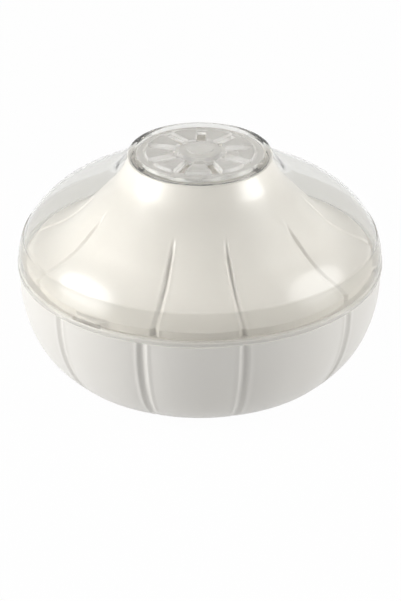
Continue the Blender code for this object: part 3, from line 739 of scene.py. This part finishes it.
@dataclass
class InnerCover:
    """The lobed inner cover: bell, flange, tongue, baffled top and the lugs that hold the lid."""

    base: float = 68.0 * MM
    radius: float = 104.0 * MM
    wall: float = 2.0 * MM
    skirt_top: float = 75.6 * MM
    shoulder_reach: float = 2.7 * MM
    shoulder_rise: float = 1.0 * MM
    plate_top: float = 130.8 * MM      # of the vented plate across the neck
    neck_radius: float = 42.0 * MM
    neck_wall: float = 1.6 * MM
    neck_top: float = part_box("inner_cover")[1].z
    waist_shares: tuple[float, float] = (0.482, 0.327)
    waist_pull_shares: tuple[float, float] = (0.098, 0.11)
    waist_ratio: float = 1.83
    low_pull_shares: tuple[float, float] = (0.118, 0.057)
    neck_pull_shares: tuple[float, float] = (0.09, 0.268)
    end_share: float = 0.70
    fade_share: float = 0.22
    flange_radius: float = 107.2 * MM
    flange_low: float = 68.3 * MM
    flange_high: float = 69.9 * MM
    tongue_outer: float = 105.1 * MM
    tongue_inner: float = 103.2 * MM
    tongue_bottom: float = 61.0 * MM
    slot_radius: float = 34.0 * MM
    slot_width: float = 2.6 * MM
    slot_columns: int = 21
    grooves: tuple[float, ...] = (-67.0, -14.4, 13.9, 54.9, 95.0, 136.0, 178.0, 219.0, 256.0)
    steps: int = 34                    # in each of the flank's two curves
    shoulder_rows: int = 3             # of the flank, which the shoulder's rounding replaces
    shoulder_drop: float = 1.2 * MM
    shoulder_steps: int = 10
    neck_rows: int = 2                 # of the flank, left out under the neck's rounded top
    plate_edge: float = 0.8 * MM
    neck_edge: float = 0.6 * MM
    lug_edge: float = 0.3 * MM
    flange_edge: float = 0.4 * MM
    tongue_edge: float = 0.7 * MM
    inner_edge: float = 1.0 * MM

    def flank(self) -> np.ndarray:
        """The bell's flank: a Bezier curve from the shoulder to the waist, and one on to the neck's top."""
        start = np.array((self.radius - self.shoulder_reach, self.skirt_top + self.shoulder_rise))
        end = np.array((self.neck_radius, self.neck_top))
        span = end - start
        waist = start + span * self.waist_shares
        pull = span * self.waist_pull_shares
        lower = bezier([start, start + span * self.low_pull_shares, waist - self.waist_ratio * pull, waist],
                       self.steps)
        upper = bezier([waist, waist + pull, end - span * self.neck_pull_shares, end], self.steps)
        return np.concatenate((lower, upper[1:]))

    def weight(self, heights: np.ndarray) -> np.ndarray:
        """Relief of the cloves: all of it low down, none near the neck."""
        height = self.plate_top - self.base
        return smooth_step((self.base + height * self.end_share - heights) / (height * self.fade_share))

    def build(self, lugs: Lugs, vents: Vents) -> bpy.types.Object:
        """Carry the cover's profile round the axis, with lugs and stops as reliefs of their own.

        Args:
            lugs: The bayonet lugs.
            vents: The dial's slots, which the cover's own slots lie between.

        Returns:
            The inner cover.
        """
        cloves = Cloves(self.grooves, self.radius)
        azimuths = cloves.azimuths()
        lug_reach = self.radius - self.flange_radius
        half = lugs.arc / 2
        reliefs = np.stack((cloves.relief(), lug_reach * lugs.shares(azimuths, -half, half),
                            lug_reach * lugs.shares(azimuths, -half - lugs.stop_arc, -half)))
        flank = self.flank()
        inner_flank = offset(flank, self.wall)
        ceiling = self.plate_top - self.wall
        inner_flank = inner_flank[inner_flank[:, 1] < ceiling - self.wall / 2]
        slot_outer = self.slot_radius + self.slot_width / 2
        slot_inner = self.slot_radius - self.slot_width / 2
        skirt_inner = self.radius - self.wall
        line = Profile(3)
        neck_inner = self.neck_radius - self.neck_wall
        line.corners((0.0, self.plate_top), (slot_inner, self.plate_top), (slot_outer, self.plate_top),
                     (neck_inner, self.plate_top, self.plate_edge),
                     (neck_inner, self.neck_top, self.neck_edge),
                     (self.neck_radius, self.neck_top, self.neck_edge))
        middle_flank = flank[self.shoulder_rows:-self.neck_rows][::-1]
        line.curve(middle_flank, self.weight(middle_flank[:, 1]))
        skirt = np.array((self.radius, self.skirt_top - self.shoulder_drop))
        line.curve(fillet(flank[self.shoulder_rows], flank[0], skirt, self.shoulder_steps), 1.0)
        line.corners((self.radius, lugs.cover_crest, 0.0, 1.0),
                     (self.radius, lugs.cover_shoulder, self.lug_edge, 1.0, 1.0, 1.0),
                     (self.radius, lugs.cover_low + lugs.undercut, self.lug_edge, 1.0, 1.0, 1.0),
                     (self.radius, lugs.cover_low, 0.0, 1.0, 0.0, 1.0),
                     (self.radius, self.flange_high, 0.0, 1.0, 0.0, 1.0),
                     (self.flange_radius, self.flange_high, self.flange_edge),
                     (self.flange_radius, self.flange_low, self.flange_edge),
                     (self.tongue_outer, self.flange_low, self.lug_edge),
                     (self.tongue_outer, self.tongue_bottom, self.tongue_edge),
                     (self.tongue_inner, self.tongue_bottom, self.tongue_edge),
                     (self.tongue_inner, self.flange_low, self.neck_edge),
                     (skirt_inner, self.flange_high, 0.0, 1.0),
                     (skirt_inner, self.skirt_top - self.wall, self.inner_edge, 1.0))
        line.curve(inner_flank, self.weight(inner_flank[:, 1]))
        line.corners((inner_flank[-1, 0] - self.wall, ceiling, self.inner_edge), (slot_outer, ceiling),
                     (slot_inner, ceiling), (0.0, ceiling))
        rings = line.rings()
        radius = rings[:, :1] - rings[:, 2:] @ reliefs
        flat = (rings[:, 0] < slot_outer + WELD_DISTANCE).astype(float)[:, None]
        period = 2 * np.pi / vents.count
        even = azimuths[0] + 2 * np.pi * np.arange(len(azimuths)) / len(azimuths)
        per_slot = len(azimuths) // vents.count
        middle = math.radians(vents.first) + period / 2
        first = int(round((middle - even[0]) / (2 * np.pi) * len(azimuths) - self.slot_columns / 2))
        points = round_points(radius, flat * even[None, :] + (1 - flat) * azimuths[None, :], rings[:, 1:2])
        last = len(rings) - 1
        holes = [Opening((1, 2), (last - 2, last - 1),
                         (first + index * per_slot, first + index * per_slot + self.slot_columns))
                 for index in range(vents.count)]
        quads = wrapped_quads(*points.shape[:2], False, holes)
        return solid_piece("inner_cover_bell", [(points, quads)])


@dataclass
class ClearLid:
    """The clear lid: bead, band, dome, collar and crest, the sunk deck with its vents, and the lugs."""

    radius: float = 109.7 * MM
    wall: float = 2.1 * MM
    base: float = 68.0 * MM
    bottom: float = 68.3 * MM
    dome_height: float = 64.2 * MM
    dome_powers: tuple[float, float] = (2.49, 1.66)
    band_height: float = 19.0 * MM
    band_step: float = 0.8 * MM        # from the band in to the dome, over band_rise
    band_rise: float = 0.3 * MM
    bead_height: float = 3.0 * MM
    bead_proud: float = 0.3 * MM
    collar_foot_radius: float = 52.5 * MM
    crest_radius: float = 41.4 * MM
    crest_top: float = 140.5 * MM
    recess_radius: float = 38.6 * MM
    collar_wall: float = 1.6 * MM
    recess_wall: float = 1.4 * MM
    neck_clearance: float = 0.4 * MM
    collar_blend: float = 6.0 * MM     # how far the blend at the collar's foot reaches each way
    deck_top: float = 136.2 * MM
    deck_low: float = 134.4 * MM
    hole_radius: float = 3.7 * MM
    lug_radius: float = 104.4 * MM
    notch: tuple[float, float] = (-29.0, 23.0)
    notch_depth: float = 1.2 * MM
    band_steps: int = 10
    dome_steps: int = 56
    blend_steps: int = 14
    soft_edge: float = 0.4 * MM
    crisp_edge: float = 0.3 * MM
    fine_edge: float = 0.2 * MM
    crest_edge: float = 1.0 * MM
    recess_edge: float = 0.8 * MM

    def radius_at(self, height: np.ndarray) -> np.ndarray:
        """Outer radius of the dome at a height above the rim: R (1 - (h/H)^a)^(1/b), a superellipse."""
        up, out = self.dome_powers
        return self.radius * (1 - (height / self.dome_height) ** up) ** (1 / out)

    def height_at(self, radius: float) -> float:
        """Height above the rim at which the dome has a given outer radius."""
        up, out = self.dome_powers
        return self.dome_height * (1 - (radius / self.radius) ** out) ** (1 / up)

    def dome(self, low: float, high: float, steps: int) -> np.ndarray:
        """Points of the dome between two heights, closer where it turns inwards: h = low + rise sin(t)."""
        heights = low + (high - low) * np.sin(np.linspace(0.0, np.pi / 2, steps + 1))
        return np.stack((self.radius_at(heights), heights + self.base), axis=1)

    def blended(self, curve: np.ndarray, top: np.ndarray) -> np.ndarray:
        """The dome's curve up to its blend into the collar, and the blend itself.

        Args:
            curve: The dome's points, from low to high, the last where it would meet the collar.
            top: A point higher on the collar.

        Returns:
            Points from low to high.
        """
        foot = curve[-1]
        kept = curve[np.linalg.norm(curve - foot, axis=1) > self.collar_blend]
        way = (top - foot) / np.linalg.norm(top - foot)
        blend = fillet(kept[-1], foot, foot + way * self.collar_blend, self.blend_steps)
        return np.concatenate((kept[:-1], blend))

    def build(self, lugs: Lugs, vents: Vents, neck_top: float) -> bpy.types.Object:
        """Carry the lid's profile round the axis, with lugs and the tab's notch as reliefs.

        Args:
            lugs: The bayonet lugs.
            vents: The slots in the deck.
            neck_top: Height of the inner cover's neck, which the collar clears.

        Returns:
            The lid.
        """
        skirt_inner = self.radius - self.wall
        bead_top = self.bottom + self.bead_height
        band = self.dome(bead_top - self.base + self.bead_proud, self.band_height, self.band_steps)
        foot = self.height_at(self.collar_foot_radius)
        dome = self.dome(self.band_height, foot, self.dome_steps)
        crest = np.array((self.crest_radius, self.crest_top))
        step = np.linspace(1.0, 0.0, len(dome))[:, None] * np.array([self.band_step, 0.0])
        outer_dome = self.blended(dome - step, crest)
        lean = (self.collar_foot_radius - self.crest_radius) / (self.crest_top - self.base - foot)
        pocket_inner = self.recess_radius + self.recess_wall
        pocket_top = neck_top + self.neck_clearance
        inner_crest = np.array((self.crest_radius - self.collar_wall, self.crest_top))
        inner_curve = offset(dome, self.wall)
        inner_curve = inner_curve[inner_curve[:, 0] > self.collar_foot_radius - self.collar_wall]
        inner_dome = self.blended(inner_curve, inner_crest)[::-1]
        pocket_corner = self.crest_radius - self.collar_wall + lean * (self.crest_top - pocket_top)
        line = Profile(2)
        line.corners((skirt_inner, self.bottom, self.soft_edge),
                     (self.radius, self.bottom, self.crisp_edge),
                     (self.radius + self.bead_proud, self.bottom + self.bead_proud, self.crisp_edge),
                     (self.radius + self.bead_proud, bead_top, self.crisp_edge))
        line.curve(band[:-1])
        line.corners((*band[-1], self.crisp_edge),
                     (band[-1, 0] - self.band_step, band[-1, 1] + self.band_rise, self.fine_edge))
        line.curve(outer_dome[2:])
        line.corners((self.crest_radius, self.crest_top, self.crest_edge),
                     (self.recess_radius, self.crest_top, self.recess_edge, 0.0, 1.0),
                     (self.recess_radius, self.deck_top, 0.0, 0.0, 1.0), (vents.outer, self.deck_top),
                     (vents.inner, self.deck_top), (self.hole_radius, self.deck_top, self.fine_edge),
                     (self.hole_radius, self.deck_low, self.fine_edge), (vents.inner, self.deck_low),
                     (vents.outer, self.deck_low), (pocket_inner, self.deck_low, self.soft_edge),
                     (pocket_inner, pocket_top, self.soft_edge),
                     (pocket_corner, pocket_top, self.soft_edge))
        line.curve(inner_dome[:-1])
        line.corners((skirt_inner, self.base + self.band_height / 2, self.crest_edge),
                     (skirt_inner, lugs.lid_high + lugs.slope),
                     (skirt_inner, lugs.lid_high, self.crisp_edge, 1.0),
                     (skirt_inner, lugs.lid_low, self.crisp_edge, 1.0),
                     (skirt_inner, lugs.lid_low - lugs.slope))
        rings = line.rings()
        azimuths = vents.azimuths(rings[:, 0])
        outer = azimuths[0]
        half = lugs.arc / 2
        lug = (skirt_inner - self.lug_radius) * lugs.shares(outer, -half, half)
        degrees = (np.degrees(outer) + 180) % 360 - 180
        in_notch = (degrees > self.notch[0]) & (degrees < self.notch[1])
        reliefs = np.stack((lug, -self.notch_depth * in_notch))
        points = round_points(rings[:, :1] - rings[:, 2:] @ reliefs, azimuths, rings[:, 1:2])
        quads = wrapped_quads(*points.shape[:2], True, vents.openings(rings, self.deck_top, self.deck_low))
        return solid_piece("clear_lid_dome", [(points, quads)])


@dataclass
class VentDial:
    """The clear vent dial: slotted disc with a raised rim, sectors and hub, and its tab."""

    low: float = 136.5 * MM
    plate_top: float = 138.3 * MM
    rim_top: float = 138.8 * MM
    sector_top: float = 140.3 * MM
    hub_top: float = 140.6 * MM
    radius: float = 37.8 * MM
    rim_width: float = 4.6 * MM
    rim_draft: float = 0.5 * MM
    hub_radius: float = 13.0 * MM
    hub_draft: float = 0.5 * MM
    hole_radius: float = 3.7 * MM
    sector_inner: float = 15.7 * MM
    sector_outer: float = 32.7 * MM
    tab: tuple[float, float] = (-27.0, 1.0)
    tab_proud: float = 1.2 * MM
    fine_edge: float = 0.2 * MM
    crisp_edge: float = 0.3 * MM
    soft_edge: float = 0.4 * MM
    sector_edge: float = 0.25 * MM

    def build(self, vents: Vents) -> bpy.types.Object:
        """Carry the dial's profile round the axis, with the sectors raised between the slots.

        Args:
            vents: The slots and the columns beside them.

        Returns:
            The dial.
        """
        rim_inner = self.radius - self.rim_width
        rise = self.sector_top - self.plate_top
        draft = vents.draft
        line = Profile(2)
        line.corners((self.hole_radius, self.low, self.fine_edge))
        rows = ROUNDING_STEPS + 4      # as many rings as the top has between the same radii
        below = np.linspace(vents.inner, vents.outer, rows)
        line.curve(np.stack((below, np.full_like(below, self.low)), axis=1))
        line.corners((self.radius, self.low, self.soft_edge, 1.0),
                     (self.radius, self.rim_top, self.soft_edge, 1.0),
                     (rim_inner + self.rim_draft, self.rim_top, self.crisp_edge),
                     (rim_inner, self.plate_top, self.fine_edge), (self.sector_outer, self.plate_top),
                     (self.sector_outer - draft, self.plate_top, self.sector_edge, 0.0, 1.0),
                     (vents.outer, self.plate_top, 0.0, 0.0, 1.0),
                     (self.sector_inner + draft, self.plate_top, self.sector_edge, 0.0, 1.0),
                     (self.sector_inner, self.plate_top), (vents.inner, self.plate_top),
                     (self.hub_radius + self.hub_draft, self.plate_top, self.crisp_edge),
                     (self.hub_radius, self.hub_top, self.soft_edge),
                     (self.hole_radius, self.hub_top, self.fine_edge))
        rings = line.rings()
        azimuths = vents.azimuths(rings[:, 0])
        outer = (np.degrees(azimuths[np.argmax(rings[:, 0])]) + 180) % 360 - 180
        tab = ((outer > self.tab[0]) & (outer < self.tab[1])) * -self.tab_proud
        radius = rings[:, :1] - rings[:, 2:3] * tab[None, :]
        height = rings[:, 1:2] + rise * rings[:, 3:4] * vents.sector_shares()[None, :]
        points = round_points(radius, azimuths, height)
        quads = wrapped_quads(*points.shape[:2], True, vents.openings(rings, self.plate_top, self.low))
        return solid_piece("vent_dial_disc", [(points, quads)])


@dataclass
class Pivot:
    """The snap pivot: a flat head on the hub, a shank and a barb, and the clip that it snaps through."""

    radius: float = 3.4 * MM
    head_radius: float = 8.3 * MM
    head_low: float = 140.9 * MM
    head_top: float = 141.7 * MM
    barb_radius: float = 4.2 * MM
    barb_tip_radius: float = 2.6 * MM
    barb_high: float = 132.6 * MM
    barb_low: float = 131.7 * MM
    clip_hole: float = 3.7 * MM
    clip_radius: float = 7.0 * MM
    clip_low: float = 132.9 * MM
    clip_high: float = 134.1 * MM
    columns: int = 96
    soft_edge: float = 0.3 * MM
    barb_edge: float = 0.15 * MM
    fine_edge: float = 0.2 * MM
    head_edge: float = 0.35 * MM

    def turned(self, name: str, line: Profile, looped: bool) -> bpy.types.Object:
        """Carry a plain profile round the axis."""
        rings = line.rings()
        azimuths = 2 * np.pi * np.arange(self.columns)[None, :] / self.columns
        points = round_points(rings[:, :1], azimuths, rings[:, 1:2])
        return solid_piece(name, [(points, wrapped_quads(*points.shape[:2], looped, []))])

    def build_pivot(self) -> bpy.types.Object:
        """The pivot, from the tip of its barb to the middle of its head."""
        line = Profile(0)
        line.corners((0.0, self.barb_low), (self.barb_tip_radius, self.barb_low, self.soft_edge),
                     (self.barb_radius, self.barb_high, self.barb_edge), (self.radius, self.barb_high),
                     (self.radius, self.head_low, self.fine_edge),
                     (self.head_radius, self.head_low, self.fine_edge),
                     (self.head_radius, self.head_top, self.head_edge), (0.0, self.head_top))
        return self.turned("dial_pivot_pin", line, False)

    def build_clip(self) -> bpy.types.Object:
        """The clip, a flat washer with soft edges."""
        line = Profile(0)
        line.corners((self.clip_hole, self.clip_low, self.fine_edge),
                     (self.clip_radius, self.clip_low, self.soft_edge),
                     (self.clip_radius, self.clip_high, self.soft_edge),
                     (self.clip_hole, self.clip_high, self.fine_edge))
        return self.turned("pivot_clip_washer", line, True)


@dataclass
class DrainGrid:
    """The drain grid: a plate of four slotted rings and twelve spokes on six feet."""

    radius: float = 80.3 * MM
    low: float = 9.1 * MM
    high: float = 11.3 * MM
    foot_low: float = 3.9 * MM
    hole_radius: float = 11.0 * MM
    rim_width: float = 5.0 * MM
    ring_width: float = 4.0 * MM
    spoke_width: float = 4.0 * MM
    spokes: int = 12
    rings: int = 4
    slot_columns: int = 14
    feet: int = 6
    foot_radius: float = 3.0 * MM
    foot_circle: float = 56.0 * MM
    foot_columns: int = 24
    soft_edge: float = 0.4 * MM
    rim_edge: float = 0.5 * MM
    foot_edge: float = 0.8 * MM

    def build(self) -> bpy.types.Object:
        """Lay the plate's rings and spokes on one grid of columns, and add the feet.

        Returns:
            The drain grid.
        """
        first = self.hole_radius + self.rim_width
        pitch = (self.radius - self.rim_width - first + self.ring_width) / self.rings
        inner = first + pitch * np.arange(self.rings)
        edges = np.stack((inner, inner + pitch - self.ring_width), axis=1).ravel()
        line = Profile(0)
        line.corners((self.hole_radius, self.high, self.soft_edge))
        line.curve(np.stack((edges, np.full_like(edges, self.high)), axis=1))
        line.corners((self.radius, self.high, self.rim_edge), (self.radius, self.low, self.soft_edge))
        line.curve(np.stack((edges[::-1], np.full_like(edges, self.low)), axis=1))
        line.corners((self.hole_radius, self.low, self.soft_edge))
        rings = line.rings()
        period = 2 * np.pi / self.spokes
        half = np.arcsin(self.spoke_width / 2 / np.maximum(rings[:, :1], self.hole_radius))
        share = np.linspace(0.0, 1.0, self.slot_columns + 1)[None, :]
        one = np.concatenate((half + (period - 2 * half) * share, np.full_like(half, period)), axis=1)
        turns = period * np.arange(self.spokes)
        azimuths = (turns[None, :, None] + one[:, None, :]).reshape(len(rings), -1)
        points = round_points(rings[:, :1], azimuths, rings[:, 1:2])
        stride = self.slot_columns + 2
        top = nearest_ring(rings, edges[0], self.high)
        bottom = nearest_ring(rings, edges[0], self.low)
        holes = [Opening((top + 2 * ring, top + 2 * ring + 1), (bottom - 2 * ring - 1, bottom - 2 * ring),
                         (spoke * stride, spoke * stride + self.slot_columns))
                 for ring in range(self.rings) for spoke in range(self.spokes)]
        parts = [(points, wrapped_quads(*points.shape[:2], True, holes))]
        parts += [self.foot(2 * math.pi * index / self.feet) for index in range(self.feet)]
        return solid_piece("drain_grid_plate", parts)

    def foot(self, azimuth: float) -> tuple[np.ndarray, np.ndarray]:
        """One foot: a short round peg with a soft end, running up into the plate.

        Args:
            azimuth: Where it stands, in radians.

        Returns:
            Its points and quads.
        """
        line = Profile(0)
        line.corners((0.0, self.foot_low), (self.foot_radius, self.foot_low, self.foot_edge),
                     (self.foot_radius, (self.low + self.high) / 2), (0.0, (self.low + self.high) / 2))
        rings = line.rings()
        around = 2 * np.pi * np.arange(self.foot_columns)[None, :] / self.foot_columns
        points = round_points(rings[:, :1], around, rings[:, 1:2])
        points = points + np.array([self.foot_circle * math.sin(azimuth),
                                    -self.foot_circle * math.cos(azimuth), 0.0])
        return points, wrapped_quads(*points.shape[:2], False, [])


@dataclass(frozen=True)
class SoftBox:
    """A large round soft light that faces the keeper."""

    name: str
    azimuth: float                     # degrees from the front towards the right
    elevation: float
    power: float                       # watts
    distance: float = 1.4
    size: float = 1.0


@dataclass
class Studio:
    """Camera at the photograph's place, pale floor and two large soft lights."""

    distance: float = 1200.0 * MM
    elevation: float = 28.11
    target_height: float = 39.65 * MM
    sideways: float = 0.27 * MM
    lens: float = 117.24               # millimetres, and so is the sensor, along the long side
    sensor: float = 36.0
    farthest: float = 20.0             # that the camera sees
    floor_size: float = 8.0
    floor_drop: float = 0.2 * MM       # below the foot ring
    floor_colour: str = "f2f2f2"
    floor_glow_share: float = 0.98
    fill: float = 0.10
    side_fill: float = 0.50            # added towards both sides, as the square of the sideways share
    top_fill: float = 0.22             # added from above, as the square of the upward share
    lights: tuple[SoftBox, ...] = (SoftBox("left_softbox", -74.0, 14.0, 17.0),
                                   SoftBox("right_softbox", 78.0, 20.0, 11.0))

    def camera(self) -> None:
        """Put the camera on its circle round the keeper's axis."""
        data = bpy.data.cameras.new("studio_camera")
        data.sensor_width = self.sensor
        data.lens = self.lens
        data.clip_end = self.farthest
        made = bpy.data.objects.new("studio_camera", data)
        bpy.context.scene.collection.objects.link(made)
        target = Vector((self.sideways, 0.0, self.target_height))
        tilt = math.radians(self.elevation)
        back = Vector((0.0, -math.cos(tilt), math.sin(tilt)))
        made.location = target + back * self.distance
        made.rotation_mode = "QUATERNION"
        made.rotation_quaternion = (-back).to_track_quat("-Z", "Y")
        bpy.context.scene.camera = made

    def sees_white(self, tree: bpy.types.NodeTree) -> bpy.types.NodeSocket:
        """One for camera, glossy and transmission rays that nothing matt has scattered, zero for all others.

        Args:
            tree: The node tree that gets the nodes.

        Returns:
            The socket with the value.
        """
        path = add_node(tree, "ShaderNodeLightPath")
        first = add_node(tree, "ShaderNodeMath", {"operation": "MAXIMUM"},
                         {0: path.outputs["Is Camera Ray"], 1: path.outputs["Is Glossy Ray"]})
        both = add_node(tree, "ShaderNodeMath", {"operation": "MAXIMUM"},
                        {0: first.outputs[0], 1: path.outputs["Is Transmission Ray"]})
        matt = add_node(tree, "ShaderNodeMath", {"operation": "LESS_THAN", 1: 0.5},
                        {0: path.outputs["Diffuse Depth"]})
        seen = add_node(tree, "ShaderNodeMath", {"operation": "MULTIPLY"},
                        {0: both.outputs[0], 1: matt.outputs[0]})
        return seen.outputs[0]

    def world(self) -> None:
        """White for what sees it, a softer even fill for the light on surfaces."""
        world = bpy.data.worlds.new("studio_world")
        bpy.context.scene.world = world
        world.use_nodes = True
        tree = world.node_tree
        tree.nodes.clear()
        place = add_node(tree, "ShaderNodeTexCoord")
        squares = add_node(tree, "ShaderNodeVectorMath", {"operation": "MULTIPLY"},
                           {0: place.outputs["Generated"], 1: place.outputs["Generated"]})
        added = add_node(tree, "ShaderNodeVectorMath",
                         {"operation": "DOT_PRODUCT", 1: (self.side_fill, 0.0, self.top_fill)},
                         {0: squares.outputs["Vector"]})
        level = add_node(tree, "ShaderNodeMath", {"operation": "ADD", 1: self.fill},
                         {0: added.outputs["Value"]})
        fill = add_node(tree, "ShaderNodeBackground", {"Color": linear("ffffff")},
                        {"Strength": level.outputs[0]})
        white = add_node(tree, "ShaderNodeBackground", {"Color": linear("ffffff"), "Strength": 1.0})
        mix = add_node(tree, "ShaderNodeMixShader",
                       links={0: self.sees_white(tree), 1: fill.outputs[0], 2: white.outputs[0]})
        add_node(tree, "ShaderNodeOutputWorld", links={"Surface": mix.outputs[0]})

    def floor(self) -> None:
        """A pale floor just under the foot ring, which keeps a faint shadow and looks white."""
        reach = self.floor_size / 2
        mesh = bpy.data.meshes.new("studio_floor")
        mesh.from_pydata([(-reach, -reach, 0.0), (reach, -reach, 0.0), (reach, reach, 0.0),
                          (-reach, reach, 0.0)], [], [(0, 1, 2, 3)])
        made = bpy.data.objects.new("studio_floor", mesh)
        made.location = (0.0, 0.0, -self.floor_drop)
        bpy.context.scene.collection.objects.link(made)
        material = bpy.data.materials.new("painted_backdrop_board")
        material.use_nodes = True
        tree = material.node_tree
        tree.nodes.clear()
        matt = add_node(tree, "ShaderNodeBsdfDiffuse", {"Color": linear(self.floor_colour)})
        glow = add_node(tree, "ShaderNodeEmission", {"Color": linear("ffffff"), "Strength": 1.0})
        pale = add_node(tree, "ShaderNodeMixShader", {0: self.floor_glow_share},
                        {1: matt.outputs[0], 2: glow.outputs[0]})
        mix = add_node(tree, "ShaderNodeMixShader",
                       links={0: self.sees_white(tree), 1: matt.outputs[0], 2: pale.outputs[0]})
        add_node(tree, "ShaderNodeOutputMaterial", links={"Surface": mix.outputs[0]})
        mesh.materials.append(material)

    def light(self, box: SoftBox) -> None:
        """Set up one soft light."""
        data = bpy.data.lights.new(box.name, "AREA")
        data.shape = "DISK"
        data.size = box.size
        data.energy = box.power
        made = bpy.data.objects.new(box.name, data)
        bpy.context.scene.collection.objects.link(made)
        a, e = math.radians(box.azimuth), math.radians(box.elevation)
        way = Vector((math.sin(a) * math.cos(e), -math.cos(a) * math.cos(e), math.sin(e)))
        made.location = way * box.distance + Vector((0.0, 0.0, self.target_height))
        made.rotation_mode = "QUATERNION"
        made.rotation_quaternion = (-way).to_track_quat("-Z", "Y")

    def build(self) -> None:
        """Set up camera, world, floor and lights."""
        self.camera()
        self.world()
        self.floor()
        for box in self.lights:
            self.light(box)
        bpy.context.scene.view_settings.view_transform = "Standard"


def main() -> None:
    """Build the keeper's pieces in order, dress them and set up the studio."""
    logging.basicConfig(level=logging.INFO, format="%(name)s: %(message)s")
    pearl, matt, clear = PearlPlastic().make(), MattPlastic().make(), ClearPlastic().make()
    # The inner cover is the same pearl plastic as the bowl. Its copy is darker and a touch warmer: the
    # darkening is painted shade, which keeps the cover as dim as in shade.
    shaded_pearl = PearlPlastic(name="polypropylene_pearl_painted_shade_moulded", colour="d3cfc9", shade="cdc9c2").make()
    hazy = HazyPlastic().make()
    lugs, vents = Lugs(), Vents()
    pieces = [
        settle(Bowl().build(), pearl, Body.BOWL, "bowl"),
        settle(DrainGrid().build(), matt, Body.GRID, "drain_grid"),
        settle(InnerCover().build(lugs, vents), shaded_pearl, Body.COVER, "inner_cover"),
        settle(ClearLid().build(lugs, vents, InnerCover.neck_top), clear, Body.LID, "clear_lid"),
        settle(VentDial().build(vents), hazy, Body.DIAL, "vent_dial"),
        settle(Pivot().build_pivot(), hazy, Body.LID, "dial_pivot"),
        settle(Pivot().build_clip(), matt, Body.LID, "pivot_clip"),
    ]
    for piece in pieces:
        LOG.info("%s: %d vertices, %d faces", piece.name, len(piece.data.vertices), len(piece.data.polygons))
    Studio().build()


if __name__ == "__main__":
    main()
